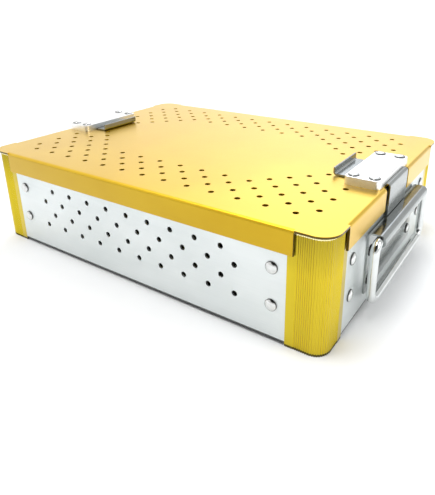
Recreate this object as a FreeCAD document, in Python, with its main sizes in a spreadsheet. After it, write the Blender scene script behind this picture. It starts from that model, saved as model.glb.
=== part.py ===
"""Sterilization tray: perforated box with corner posts, lift-off lid, slide latches and drop handles.

Millimetres. The origin is the middle of the footprint, on the surface that the tray stands on.
X runs along the tray, Y across it and Z up. The front long side faces -Y.
"""
import math
import os

import FreeCAD
import Part
import Sketcher
from FreeCAD import Placement, Rotation, Vector

# Driving sizes, in millimetres, degrees or counts
SIZES = {
    # box
    "body_length": 300.0,
    "body_width": 218.0,
    "post_height": 76.3,
    # folded pan
    "pan_gauge": 1.5,
    "fold_radius": 3.0,
    "wall_top_gap": 0.3,
    # corner posts
    "post_flank": 25.0,
    "post_wall": 3.0,
    "post_radius": 10.0,
    "post_flange": 15.0,
    "post_floor_gap": 0.2,
    "fold_clearance": 0.4,
    "rib_depth": 0.4,
    "rib_width": 0.9,
    "rib_count": 13,
    "rib_spacing": 1.3,
    "flank_rib_count": 7,
    # lid
    "lid_gauge": 1.5,
    "lid_overhang": 2.0,
    "flange_drop": 16.0,
    "flange_radius": 2.5,
    "tab_length": 20.5,
    "tab_radius": 12.0,
    "notch_width": 50.0,
    # holes
    "hole_diameter": 4.0,
    "hole_pitch": 20.0,
    "row_pitch": 10.0,
    "first_row": 90.0,
    "even_row_holes": 13,
    "odd_row_holes": 14,
    "panel_top_row": 53.5,
    "panel_even_holes": 9,
    "panel_odd_holes": 10,
    "floor_row_holes": 5,
    "floor_rows": 3,
    "floor_pitch": 50.0,
    # latch block
    "block_length": 64.0,
    "block_depth": 24.0,
    "block_height": 6.0,
    "block_corner": 3.0,
    "block_edge": 0.5,
    "block_end_gap": 1.0,
    "channel_side_gap": 0.4,
    "channel_top_gap": 0.2,
    "block_rivet_span": 54.0,
    "block_rivet_pitch": 14.0,
    # latch slide
    "slide_width": 40.0,
    "slide_gauge": 1.2,
    "slide_lid_gap": 0.3,
    "slide_reach": 12.0,
    "lip_height": 4.5,
    "slide_bend": 2.4,
    "latch_throw": 1.3,
    "tongue_clearance": 0.1,
    "toe_gap": 0.2,
    "toe_above_shelf": 0.5,
    "slot_side_gap": 0.5,
    "slot_height_gap": 0.5,
    # handle bracket
    "bracket_length": 100.0,
    "bracket_gauge": 1.2,
    "bracket_foot": 12.5,
    "bracket_bend": 2.4,
    "hinge_offset": 7.5,
    "hinge_height": 52.5,
    "roll_angle": 235.0,
    "bracket_rivet_inset": 6.0,
    "bracket_rivet_high": 42.0,
    "bracket_rivet_low": 21.5,
    # bail
    "bail_rod": 5.8,
    "bail_bore_gap": 0.1,
    "bail_width": 114.0,
    "bail_drop": 40.5,
    "bail_top_radius": 6.0,
    "bail_bottom_radius": 8.0,
    # rivets
    "rivet_head": 8.0,
    "rivet_dome": 1.8,
    "rivet_shank": 4.0,
    "rivet_tail": 6.0,
    "rivet_tail_height": 1.0,
    "rivet_fit": 0.05,
    "post_rivet_inset": 9.5,
    "post_rivet_high": 50.0,
    "post_rivet_low": 25.0,
    "block_rivet_head": 7.5,
    "block_rivet_dome": 1.4,
}

DOC = FreeCAD.newDocument("SterilizationTray")
SHEET = DOC.addObject("Spreadsheet::Sheet", "Sizes")
NODES = []


class Size:
    """A length that carries its value and the spreadsheet formula it comes from."""

    def __init__(self, value, formula):
        self.value = value
        self.formula = formula

    def _join(self, other, sign, value):
        text = other.formula if isinstance(other, Size) else repr(float(other))
        return Size(value, "(%s %s %s)" % (self.formula, sign, text))

    def __add__(self, other):
        return self._join(other, "+", self.value + number(other))

    def __sub__(self, other):
        return self._join(other, "-", self.value - number(other))

    def __mul__(self, other):
        return self._join(other, "*", self.value * number(other))

    def __truediv__(self, other):
        return self._join(other, "/", self.value / number(other))

    def __neg__(self):
        return Size(-self.value, "(0 - %s)" % self.formula)


def number(value):
    """The plain value of a Size or of a number."""
    return value.value if isinstance(value, Size) else float(value)


def fill_sheet():
    """Write every driving size into the spreadsheet under its own alias."""
    for row, (name, value) in enumerate(SIZES.items(), start=1):
        SHEET.set("A%d" % row, name)
        SHEET.set("B%d" % row, repr(value))
        SHEET.setAlias("B%d" % row, name)
    DOC.recompute()


def size(name):
    """A driving size from the spreadsheet."""
    return Size(float(SIZES[name]), "Sizes.%s" % name)


def bind(target, prop, value):
    """Set one property of an object and tie it to its formula."""
    if isinstance(value, Size):
        target.setExpression(prop, value.formula)
    else:
        target.setExpression(prop, repr(float(value)))


# Derived planes that several pieces share
HALF_LENGTH = size("body_length") / 2
HALF_WIDTH = size("body_width") / 2
LID_UNDERSIDE = size("post_height")
LID_TOP = LID_UNDERSIDE + size("lid_gauge")
WALL_TOP = LID_UNDERSIDE - size("wall_top_gap")
FLANGE_FOOT = LID_TOP - size("flange_drop")
WALL_INSIDE_X = HALF_LENGTH - size("pan_gauge")
WALL_INSIDE_Y = HALF_WIDTH - size("pan_gauge")
FLANK_X = HALF_LENGTH - size("post_flank")
FLANK_Y = HALF_WIDTH - size("post_flank")
POST_INSIDE_X = HALF_LENGTH - size("post_wall")
POST_INSIDE_Y = HALF_WIDTH - size("post_wall")
HOLE_RADIUS = size("hole_diameter") / 2
SHANK_HOLE = size("rivet_shank") / 2 + size("rivet_fit")
ROLL_BORE = size("bail_rod") / 2 + size("bail_bore_gap")
ROLL_RADIUS = ROLL_BORE + size("bracket_gauge")
SHELF_TOP = size("hinge_height") + ROLL_RADIUS
BLOCK_OUTER_X = HALF_LENGTH - size("block_end_gap")
BLOCK_INNER_X = BLOCK_OUTER_X - size("block_depth")
SLIDE_BOTTOM = LID_TOP + size("slide_lid_gap")
SLIDE_TOP = SLIDE_BOTTOM + size("slide_gauge")
LIP_X = BLOCK_INNER_X - size("slide_reach")
TONGUE_X = HALF_LENGTH + size("latch_throw") + size("tongue_clearance")
TOE_BOTTOM = SHELF_TOP + size("toe_above_shelf")
BLOCK_RIVET_X = (BLOCK_INNER_X + BLOCK_OUTER_X) / 2
POST_RIVET_X = FLANK_X - size("post_rivet_inset")
POST_RIVET_Y = FLANK_Y - size("post_rivet_inset")
BRACKET_RIVET_Y = size("bracket_length") / 2 - size("bracket_rivet_inset")


def new_body(label):
    """Start a PartDesign body whose label names its file."""
    body = DOC.addObject("PartDesign::Body", label)
    body.Label = label
    NODES.append(body)
    return body


def origin_plane(body, role):
    """One of the body's own origin planes."""
    for feature in body.Origin.OriginFeatures:
        if feature.Role == role:
            return feature
    raise RuntimeError("no plane %s" % role)


def new_sketch(body, name, role, offset=0.0, shift_x=0.0, shift_y=0.0):
    """A sketch on an origin plane, moved along the plane's normal and within it."""
    sketch = body.newObject("Sketcher::SketchObject", body.Label + "_" + name)
    sketch.AttachmentSupport = (origin_plane(body, role), [""])
    sketch.MapMode = "FlatFace"
    bind(sketch, "AttachmentOffset.Base.x", shift_x)
    bind(sketch, "AttachmentOffset.Base.y", shift_y)
    bind(sketch, "AttachmentOffset.Base.z", offset)
    return sketch


def constrain(sketch, *parts):
    """Add a dimension to a sketch and tie it to its formula."""
    value = parts[-1]
    index = sketch.addConstraint(Sketcher.Constraint(*parts[:-1], number(value)))
    if isinstance(value, Size):
        sketch.setExpression("Constraints[%d]" % index, value.formula)


def outline(sketch, corners):
    """A closed polygon whose corners are given as (x, y) from the sketch's origin."""
    points = [Vector(number(x), number(y), 0) for x, y in corners]
    first = sketch.GeometryCount
    for start, end in zip(points, points[1:] + points[:1]):
        sketch.addGeometry(Part.LineSegment(start, end), False)
    count = len(points)
    for i in range(count):
        sketch.addConstraint(Sketcher.Constraint("Coincident", first + i, 2, first + (i + 1) % count, 1))
    for i, (x, y) in enumerate(corners):
        constrain(sketch, "DistanceX", -1, 1, first + i, 1, x)
        constrain(sketch, "DistanceY", -1, 1, first + i, 1, y)


def bent_outline(sketch, corners):
    """A closed outline of level and upright lines through (x, y, radius), bent where the radius isn't 0."""
    count = len(corners)
    points = [Vector(number(x), number(y), 0) for x, y, radius in corners]
    radii = [number(radius) for x, y, radius in corners]
    ways = [(points[(i + 1) % count] - points[i]).normalize() for i in range(count)]
    lines = []
    for i, (x, y, radius) in enumerate(corners):
        start = points[i] + ways[i] * radii[i]
        stop = points[(i + 1) % count] - ways[i] * radii[(i + 1) % count]
        line = sketch.addGeometry(Part.LineSegment(start, stop), False)
        if abs(ways[i].x) > 0.5:
            sketch.addConstraint(Sketcher.Constraint("Horizontal", line))
            constrain(sketch, "DistanceY", -1, 1, line, 1, y)
        else:
            sketch.addConstraint(Sketcher.Constraint("Vertical", line))
            constrain(sketch, "DistanceX", -1, 1, line, 1, x)
        lines.append(line)
    for i, (x, y, radius) in enumerate(corners):
        if radii[i] == 0:
            sketch.addConstraint(Sketcher.Constraint("Coincident", lines[i - 1], 2, lines[i], 1))
        else:
            bend_corner(sketch, points[i], radius, ways[i - 1], ways[i], lines[i - 1], lines[i])


def bend_corner(sketch, corner, radius, way_in, way_out, line_in, line_out):
    """A quarter arc between two lines that meet at a right angle."""
    reach = number(radius)
    centre = corner - way_in * reach + way_out * reach
    left_turn = way_in.cross(way_out).z > 0
    first = way_out * -1 if left_turn else way_in
    start = math.atan2(first.y, first.x)
    curve = Part.Circle(centre, Vector(0, 0, 1), reach)
    arc = sketch.addGeometry(Part.ArcOfCircle(curve, start, start + math.pi / 2), False)
    end_in, end_out = (1, 2) if left_turn else (2, 1)
    sketch.addConstraint(Sketcher.Constraint("Tangent", line_in, 2, arc, end_in))
    sketch.addConstraint(Sketcher.Constraint("Tangent", arc, end_out, line_out, 1))
    constrain(sketch, "Radius", arc, radius)


def rectangle(sketch, left, bottom, right, top):
    """A rectangle between two opposite corners."""
    outline(sketch, [(left, bottom), (right, bottom), (right, top), (left, top)])


def circle(sketch, x, y, radius):
    """A circle at (x, y) from the sketch's origin."""
    centre = Vector(number(x), number(y), 0)
    index = sketch.addGeometry(Part.Circle(centre, Vector(0, 0, 1), number(radius)), False)
    constrain(sketch, "Radius", index, radius)
    constrain(sketch, "DistanceX", -1, 1, index, 3, x)
    constrain(sketch, "DistanceY", -1, 1, index, 3, y)


def pad(body, sketch, length, midplane=False, reverse=False):
    """Extrude a sketch."""
    feature = body.newObject("PartDesign::Pad", sketch.Name + "_pad")
    feature.Profile = sketch
    feature.SideType = "Symmetric" if midplane else "One side"
    feature.Reversed = reverse
    bind(feature, "Length", length)
    return feature


def pocket(body, sketch, length=None, reverse=False):
    """Cut a sketch through the whole body, or to a depth."""
    feature = body.newObject("PartDesign::Pocket", sketch.Name + "_cut")
    feature.Profile = sketch
    if length is None:
        feature.Type = "ThroughAll"
        feature.SideType = "Symmetric"
    else:
        feature.Reversed = reverse
        bind(feature, "Length", length)
    return feature


def row_pattern(body, feature, sketch, axis, count, span):
    """Repeat a cut in a row along a sketch axis."""
    pattern = body.newObject("PartDesign::LinearPattern", feature.Name + "_row")
    pattern.Originals = [feature]
    pattern.Direction = (sketch, [axis])
    pattern.Mode = "Extent"
    bind(pattern, "Length", span)
    bind(pattern, "Occurrences", count)
    body.Tip = pattern
    return pattern


def grid_pattern(body, feature, sketch, count, span, rows, rows_span):
    """Repeat a cut in columns along the sketch's X and in rows along its Y."""
    pattern = row_pattern(body, feature, sketch, "H_Axis", count, span)
    pattern.Direction2 = (sketch, ["V_Axis"])
    pattern.Mode2 = "Extent"
    bind(pattern, "Length2", rows_span)
    bind(pattern, "Occurrences2", rows)
    return pattern


def mirror(body, features, roles):
    """Mirror features across origin planes, one plane after another."""
    transform = body.newObject("PartDesign::MultiTransform", features[0].Name + "_mirrors")
    transform.Originals = features
    steps = []
    for role in roles:
        step = body.newObject("PartDesign::Mirrored", features[0].Name + "_" + role)
        step.MirrorPlane = (origin_plane(body, role), [""])
        steps.append(step)
    transform.Transformations = steps
    body.Tip = transform
    return transform


def fillet(body, base, radius, chosen):
    """Round the edges of a feature that a test chooses."""
    DOC.recompute()
    names = ["Edge%d" % (i + 1) for i, edge in enumerate(base.Shape.Edges) if chosen(edge)]
    if not names:
        raise RuntimeError("no edge to round on %s" % base.Name)
    feature = body.newObject("PartDesign::Fillet", base.Name + "_round")
    feature.Base = (base, names)
    bind(feature, "Radius", radius)
    return feature


def near(value, target):
    """True where a coordinate equals a size."""
    return abs(value - number(target)) < 1e-4


def edge_span(edge):
    """How far an edge reaches along X, Y and Z."""
    box = edge.BoundBox
    return box.XLength, box.YLength, box.ZLength


def upright_at(edge, places):
    """True for a vertical edge at one of the (x, y) places."""
    dx, dy, dz = edge_span(edge)
    if dz < 1e-3 or dx > 1e-4 or dy > 1e-4:
        return False
    box = edge.BoundBox
    return any(near(box.XMin, x) and near(box.YMin, y) for x, y in places)


def along_y_at(edge, places):
    """True for an edge along Y at one of the (x, z) places."""
    dx, dy, dz = edge_span(edge)
    if dy < 1e-3 or dx > 1e-4 or dz > 1e-4:
        return False
    box = edge.BoundBox
    return any(near(box.XMin, x) and near(box.ZMin, z) for x, z in places)


def four_corners(x, y):
    """The four mirrored places of one corner."""
    return [(x, y), (-x, y), (-x, -y), (x, -y)]


# Base pan: floor and walls folded from one sheet

def make_pan():
    """Folded pan with open corners, rivet holes, latch slots and perforations."""
    body = new_body("base_pan")
    blank = new_sketch(body, "footprint", "XY_Plane")
    rectangle(blank, -HALF_LENGTH, -HALF_WIDTH, HALF_LENGTH, HALF_WIDTH)
    block = pad(body, blank, WALL_TOP)
    fillet(body, block, size("fold_radius"), lambda e: near(e.BoundBox.ZMax, 0))
    hollow = new_sketch(body, "inside", "XY_Plane", offset=size("pan_gauge"))
    rectangle(hollow, -WALL_INSIDE_X, -WALL_INSIDE_Y, WALL_INSIDE_X, WALL_INSIDE_Y)
    cavity = pocket(body, hollow, size("post_height"), reverse=True)
    floor_edge = size("pan_gauge")
    fillet(body, cavity, size("fold_radius") - size("pan_gauge"),
           lambda e: near(e.BoundBox.ZMax, floor_edge) and near(e.BoundBox.ZMin, floor_edge))
    cut_pan_corners(body)
    cut_pan_rivet_holes(body)
    cut_latch_slots(body)
    cut_panel_holes(body)
    cut_floor_holes(body)
    return body


def cut_pan_corners(body):
    """Open the corners where the posts stand, leaving the floor inside them."""
    margin = size("post_wall")
    gap = size("post_floor_gap")
    corner = new_sketch(body, "corner", "XY_Plane")
    outline(corner, [
        (FLANK_X, HALF_WIDTH + margin),
        (FLANK_X, POST_INSIDE_Y - gap),
        (POST_INSIDE_X - gap, POST_INSIDE_Y - gap),
        (POST_INSIDE_X - gap, FLANK_Y),
        (HALF_LENGTH + margin, FLANK_Y),
        (HALF_LENGTH + margin, HALF_WIDTH + margin),
    ])
    cut = pocket(body, corner)
    corners = mirror(body, [cut], ["YZ_Plane", "XZ_Plane"])
    places = four_corners(POST_INSIDE_X - gap, POST_INSIDE_Y - gap)
    radius = size("post_radius") - size("post_wall") - gap
    fillet(body, corners, radius, lambda e: upright_at(e, places))


def cut_pan_rivet_holes(body):
    """Rivet holes in the walls, for the posts and the handle brackets."""
    long_side = new_sketch(body, "front_rivets", "XZ_Plane")
    for x in (POST_RIVET_X, -POST_RIVET_X):
        for z in (size("post_rivet_high"), size("post_rivet_low")):
            circle(long_side, x, z, SHANK_HOLE)
    pocket(body, long_side)
    end = new_sketch(body, "end_rivets", "YZ_Plane")
    for y in (POST_RIVET_Y, -POST_RIVET_Y):
        for z in (size("post_rivet_high"), size("post_rivet_low")):
            circle(end, y, z, SHANK_HOLE)
    for y in (BRACKET_RIVET_Y, -BRACKET_RIVET_Y):
        for z in (size("bracket_rivet_high"), size("bracket_rivet_low")):
            circle(end, y, z, SHANK_HOLE)
    pocket(body, end)


def cut_latch_slots(body):
    """A slot in each end wall that takes the toe of the latch."""
    slot = new_sketch(body, "latch_slot", "YZ_Plane")
    reach = size("slide_width") / 2 + size("slot_side_gap")
    low = TOE_BOTTOM - size("slot_height_gap")
    high = TOE_BOTTOM + size("slide_gauge") + size("slot_height_gap")
    rectangle(slot, -reach, low, reach, high)
    pocket(body, slot)


def cut_panel_holes(body):
    """Four staggered rows of holes through both long walls."""
    pitch = size("hole_pitch")
    step = size("row_pitch")
    for name, count, top in (("panel_rows_a", "panel_even_holes", 0), ("panel_rows_b", "panel_odd_holes", 1)):
        span = pitch * (size(count) - 1)
        sketch = new_sketch(body, name, "XZ_Plane")
        low = size("panel_top_row") - step * (top + 2)
        circle(sketch, -span / 2, low, HOLE_RADIUS)
        cut = pocket(body, sketch)
        grid_pattern(body, cut, sketch, size(count), span, 2, step * 2)


def cut_floor_holes(body):
    """Drain holes through the floor."""
    pitch = size("floor_pitch")
    span = pitch * (size("floor_row_holes") - 1)
    rows_span = pitch * (size("floor_rows") - 1)
    sketch = new_sketch(body, "floor_rows", "XY_Plane")
    circle(sketch, -span / 2, -rows_span / 2, HOLE_RADIUS)
    cut = pocket(body, sketch, size("fold_radius"), reverse=True)
    grid_pattern(body, cut, sketch, size("floor_row_holes"), span, size("floor_rows"), rows_span)


# Corner posts: ribbed extrusions with a flange behind each wall

def make_post(label, side_x, side_y):
    """One post, drawn for the back right corner and turned to its own corner."""
    body = new_body(label)
    profile = new_sketch(body, "profile", "XY_Plane")
    flank = -size("post_flank")
    wall = -size("post_wall")
    behind = -size("pan_gauge")
    reach = flank - size("post_flange")
    outline(profile, [
        (0.0, 0.0),
        (flank, 0.0),
        (flank, behind),
        (reach, behind),
        (reach, wall),
        (wall, wall),
        (wall, reach),
        (behind, reach),
        (behind, flank),
        (0.0, flank),
    ])
    bar = pad(body, profile, size("post_height"))
    outer = fillet(body, bar, size("post_radius"), lambda e: upright_at(e, [(0.0, 0.0)]))
    fillet(body, outer, size("post_radius") - size("post_wall"), lambda e: upright_at(e, [(wall, wall)]))
    trim_post_flanges(body)
    cut_post_ribs(body)
    cut_post_rivet_holes(body)
    place_corner(body, side_x, side_y)
    return body


def place_corner(body, side_x, side_y):
    """Turn a piece drawn at the back right corner to the corner on the given sides."""
    turns = {(1, 1): 0.0, (-1, 1): 90.0, (-1, -1): 180.0, (1, -1): 270.0}
    body.Placement = Placement(Vector(0, 0, 0), Rotation(Vector(0, 0, 1), turns[(side_x, side_y)]))
    bind(body, "Placement.Base.x", HALF_LENGTH * side_x)
    bind(body, "Placement.Base.y", HALF_WIDTH * side_y)


def trim_post_flanges(body):
    """Cut the flanges short at the foot, clear of the pan's fold."""
    foot = new_sketch(body, "foot", "XY_Plane")
    flank = -size("post_flank")
    reach = flank - size("post_flange") - 1.0
    outline(foot, [
        (flank, 1.0),
        (reach, 1.0),
        (reach, reach),
        (1.0, reach),
        (1.0, flank),
        (flank, flank),
    ])
    pocket(body, foot, size("fold_radius") + size("fold_clearance"), reverse=True)


def cut_post_ribs(body):
    """Fine vertical grooves round the corner and a little way along each flank."""
    radius = size("post_radius")
    half = size("rib_width") / 2
    arc = new_sketch(body, "corner_rib", "XY_Plane", shift_x=-radius, shift_y=-radius)
    outline(arc, [(radius + 0.2, -half), (radius + 0.2, half), (radius - size("rib_depth"), 0.0)])
    groove = pocket(body, arc)
    turn = body.newObject("PartDesign::PolarPattern", body.Label + "_corner_ribs")
    turn.Originals = [groove]
    turn.Axis = (arc, ["N_Axis"])
    turn.Mode = "Extent"
    bind(turn, "Angle", 90.0)
    bind(turn, "Occurrences", size("rib_count"))
    body.Tip = turn
    spacing = size("rib_spacing")
    span = spacing * (size("flank_rib_count") - 1)
    start = -radius - spacing
    flank_x = new_sketch(body, "flank_rib_x", "XY_Plane", shift_x=start)
    outline(flank_x, [(-half, 0.2), (half, 0.2), (0.0, -size("rib_depth"))])
    groove_x = pocket(body, flank_x)
    row = row_pattern(body, groove_x, flank_x, "H_Axis", size("flank_rib_count"), span)
    row.Reversed = True
    flank_y = new_sketch(body, "flank_rib_y", "XY_Plane", shift_y=start)
    outline(flank_y, [(0.2, -half), (0.2, half), (-size("rib_depth"), 0.0)])
    groove_y = pocket(body, flank_y)
    row = row_pattern(body, groove_y, flank_y, "V_Axis", size("flank_rib_count"), span)
    row.Reversed = True


def cut_post_rivet_holes(body):
    """Rivet holes through both flanges."""
    inset = -size("post_flank") - size("post_rivet_inset")
    heights = (size("post_rivet_high"), size("post_rivet_low"))
    for name, role in (("rivets_x", "XZ_Plane"), ("rivets_y", "YZ_Plane")):
        sketch = new_sketch(body, name, role)
        for z in heights:
            circle(sketch, inset, z, SHANK_HOLE)
        pocket(body, sketch)


# Lid: flat top with bent flanges between four corner tabs

def make_lid():
    """Perforated lid."""
    body = new_body("lid_sheet")
    edge_x = HALF_LENGTH + size("lid_overhang")
    edge_y = HALF_WIDTH + size("lid_overhang")
    bend_x = edge_x - size("flange_radius")
    bend_y = edge_y - size("flange_radius")
    tab_x = HALF_LENGTH - size("tab_length")
    tab_y = HALF_WIDTH - size("tab_length")
    top = new_sketch(body, "top", "XY_Plane", offset=LID_UNDERSIDE)
    corners = []
    for sx, sy in ((1, 1), (-1, 1), (-1, -1), (1, -1)):
        run = [
            (bend_x * sx, tab_y * sy),
            (edge_x * sx, tab_y * sy),
            (edge_x * sx, edge_y * sy),
            (tab_x * sx, edge_y * sy),
            (tab_x * sx, bend_y * sy),
        ]
        corners += run if sx * sy > 0 else run[::-1]
    outline(top, corners)
    plate = pad(body, top, size("lid_gauge"))
    fillet(body, plate, size("tab_radius"), lambda e: upright_at(e, four_corners(edge_x, edge_y)))
    make_flanges(body, "long", "YZ_Plane", edge_y, tab_x * 2)
    make_flanges(body, "end", "XZ_Plane", edge_x, tab_y * 2)
    cut_lid_notches(body, bend_x)
    cut_lid_holes(body)
    cut_block_rivet_holes(body)
    return body


def make_flanges(body, name, role, edge, length):
    """The bent flanges on two opposite sides, as profiles extruded between the tabs."""
    radius = size("flange_radius")
    gauge = size("lid_gauge")
    inner_radius = size("lid_overhang") - gauge
    inboard = edge - radius - 1.0
    profile = new_sketch(body, name + "_flanges", role)
    for side in (1, -1):
        bent_outline(profile, [
            (inboard * side, LID_TOP, 0),
            (edge * side, LID_TOP, radius),
            (edge * side, FLANGE_FOOT, 0),
            ((edge - gauge) * side, FLANGE_FOOT, 0),
            ((edge - gauge) * side, LID_UNDERSIDE, inner_radius),
            (inboard * side, LID_UNDERSIDE, 0),
        ])
    pad(body, profile, length, midplane=True)


def cut_lid_notches(body, bend_x):
    """The gap in each end flange where the latch tongue comes down."""
    half = size("notch_width") / 2
    sketch = new_sketch(body, "notch", "XY_Plane")
    outer = HALF_LENGTH + size("lid_overhang") + 1.0
    rectangle(sketch, bend_x, -half, outer, half)
    cut = pocket(body, sketch)
    mirror(body, [cut], ["YZ_Plane"])


def cut_lid_holes(body):
    """Full rows along both long edges, and short stepped rows at the ends of the blank middle."""
    pitch = size("hole_pitch")
    step = size("row_pitch")
    first = -size("first_row")
    for name, count, row in (("even_rows", "even_row_holes", 0), ("odd_rows", "odd_row_holes", 1)):
        span = pitch * (size(count) - 1)
        sketch = new_sketch(body, name, "XY_Plane", shift_y=first + step * row)
        circle(sketch, -span / 2, 0.0, HOLE_RADIUS)
        cut = pocket(body, sketch)
        rows = grid_pattern(body, cut, sketch, size(count), span, 2, step * 2)
        rows.Label = name
        mirrored = new_sketch(body, name + "_back", "XY_Plane", shift_y=-first - step * row)
        circle(mirrored, -span / 2, 0.0, HOLE_RADIUS)
        cut = pocket(body, mirrored)
        rows = grid_pattern(body, cut, mirrored, size(count), span, 2, step * 2)
        rows.Reversed2 = True
    ends = new_sketch(body, "end_rows", "XY_Plane")
    last = pitch * (size("even_row_holes") - 1) / 2
    for row, places in ((4, (0, 1, 2)), (5, (-0.5, 0.5, 1.5)), (6, (1,)), (7, (0.5,))):
        for place in places:
            circle(ends, last - pitch * place, first + step * row, HOLE_RADIUS)
    cut = pocket(body, ends)
    mirror(body, [cut], ["YZ_Plane", "XZ_Plane"])


def cut_block_rivet_holes(body):
    """Rivet holes under the latch blocks."""
    sketch = new_sketch(body, "block_rivets", "XY_Plane")
    half_pitch = size("block_rivet_pitch") / 2
    half_span = size("block_rivet_span") / 2
    for x in (BLOCK_RIVET_X - half_pitch, BLOCK_RIVET_X + half_pitch):
        for y in (-half_span, half_span):
            circle(sketch, x, y, SHANK_HOLE)
    cut = pocket(body, sketch)
    mirror(body, [cut], ["YZ_Plane"])


def turn_to_end(body, side):
    """Turn a piece drawn for the right end to the left end."""
    if side < 0:
        body.Placement = Placement(Vector(0, 0, 0), Rotation(Vector(0, 0, 1), 180.0))


# Latch: a block riveted to the lid, with a slide that runs in the channel under it

def make_latch_block(label, side):
    """Thick block with rounded corners and a channel across its underside."""
    body = new_body(label)
    half = size("block_length") / 2
    plan = new_sketch(body, "plan", "XY_Plane", offset=LID_TOP)
    rectangle(plan, BLOCK_INNER_X, -half, BLOCK_OUTER_X, half)
    block = pad(body, plan, size("block_height"))
    places = [(x, y) for x in (BLOCK_INNER_X, BLOCK_OUTER_X) for y in (-half, half)]
    rounded = fillet(body, block, size("block_corner"), lambda e: upright_at(e, places))
    top = LID_TOP + size("block_height")
    fillet(body, rounded, size("block_edge"), lambda e: near(e.BoundBox.ZMin, top))
    channel = new_sketch(body, "channel", "YZ_Plane")
    reach = size("slide_width") / 2 + size("channel_side_gap")
    rectangle(channel, -reach, LID_TOP - 1.0, reach, SLIDE_TOP + size("channel_top_gap"))
    pocket(body, channel)
    rivets = new_sketch(body, "rivets", "XY_Plane")
    half_pitch = size("block_rivet_pitch") / 2
    half_span = size("block_rivet_span") / 2
    for x in (BLOCK_RIVET_X - half_pitch, BLOCK_RIVET_X + half_pitch):
        for y in (-half_span, half_span):
            circle(rivets, x, y, SHANK_HOLE)
    pocket(body, rivets)
    turn_to_end(body, side)
    return body


def make_latch_slide(label, side):
    """Bent strip: finger lip, plate under the block, bend over the lid's edge, tongue and toe."""
    body = new_body(label)
    gauge = size("slide_gauge")
    outer_x = TONGUE_X + gauge
    toe_x = HALF_LENGTH + size("toe_gap")
    lip_top = SLIDE_TOP + size("lip_height")
    bend = size("slide_bend")
    profile = new_sketch(body, "strip", "XZ_Plane")
    bent_outline(profile, [
        (LIP_X, lip_top, 0),
        (LIP_X, SLIDE_BOTTOM, bend),
        (TONGUE_X, SLIDE_BOTTOM, bend - gauge),
        (TONGUE_X, TOE_BOTTOM + gauge, 0),
        (toe_x, TOE_BOTTOM + gauge, 0),
        (toe_x, TOE_BOTTOM, 0),
        (outer_x, TOE_BOTTOM, 0),
        (outer_x, SLIDE_TOP, bend),
        (LIP_X + gauge, SLIDE_TOP, bend - gauge),
        (LIP_X + gauge, lip_top, 0),
    ])
    pad(body, profile, size("slide_width"), midplane=True)
    turn_to_end(body, side)
    return body


# Handle: a bracket on the end wall and a bail hung in its rolled edge

def make_bracket(label, side):
    """Back plate, shelf and rolled front edge, bent from one strip."""
    body = new_body(label)
    gauge = size("bracket_gauge")
    back = HALF_LENGTH
    hinge_x = HALF_LENGTH + size("hinge_offset")
    bend = size("bracket_bend")
    profile = new_sketch(body, "shelf", "XZ_Plane")
    bent_outline(profile, [
        (back, size("bracket_foot"), 0),
        (back + gauge, size("bracket_foot"), 0),
        (back + gauge, SHELF_TOP - gauge, bend - gauge),
        (hinge_x, SHELF_TOP - gauge, 0),
        (hinge_x, SHELF_TOP, 0),
        (back, SHELF_TOP, bend),
    ])
    pad(body, profile, size("bracket_length"), midplane=True)
    make_roll(body, hinge_x)
    cut_bracket_holes(body)
    turn_to_end(body, side)
    return body


def make_roll(body, hinge_x):
    """The rolled edge: the sheet's section turned about the hinge line as a thick arc."""
    sweep = number(size("roll_angle"))
    sketch = new_sketch(body, "roll", "XZ_Plane", shift_x=hinge_x, shift_y=size("hinge_height"))
    end = math.radians(90.0 - sweep)
    arcs = []
    for radius in (ROLL_RADIUS, ROLL_BORE):
        round_line = Part.Circle(Vector(0, 0, 0), Vector(0, 0, 1), number(radius))
        arc = Part.ArcOfCircle(round_line, end, math.radians(90.0))
        index = sketch.addGeometry(arc, False)
        sketch.addConstraint(Sketcher.Constraint("Coincident", index, 3, -1, 1))
        constrain(sketch, "Radius", index, radius)
        arcs.append(index)
    outer, inner = arcs
    ends = []
    for position in (1, 2):
        start = sketch.getPoint(outer, position)
        stop = sketch.getPoint(inner, position)
        line = sketch.addGeometry(Part.LineSegment(start, stop), False)
        sketch.addConstraint(Sketcher.Constraint("Coincident", outer, position, line, 1))
        sketch.addConstraint(Sketcher.Constraint("Coincident", inner, position, line, 2))
        ends.append(line)
    free_end, top_end = ends
    sketch.addConstraint(Sketcher.Constraint("Vertical", top_end))
    sketch.addConstraint(Sketcher.Constraint("PointOnObject", outer, 2, -2))
    sketch.addConstraint(Sketcher.Constraint("PointOnObject", -1, 1, free_end))
    constrain_roll_angle(sketch, top_end, free_end)
    pad(body, sketch, size("bracket_length"), midplane=True)


def constrain_roll_angle(sketch, top_end, free_end):
    """Fix how far round the edge is rolled."""
    index = sketch.addConstraint(Sketcher.Constraint("Angle", free_end, 2, top_end, 2,
                                                     math.radians(number(size("roll_angle")))))
    sketch.setExpression("Constraints[%d]" % index, "Sizes.roll_angle * 1 deg")


def cut_bracket_holes(body):
    """Rivet holes in the back plate."""
    sketch = new_sketch(body, "rivets", "YZ_Plane")
    for y in (BRACKET_RIVET_Y, -BRACKET_RIVET_Y):
        for z in (size("bracket_rivet_high"), size("bracket_rivet_low")):
            circle(sketch, y, z, SHANK_HOLE)
    pocket(body, sketch)


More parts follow.
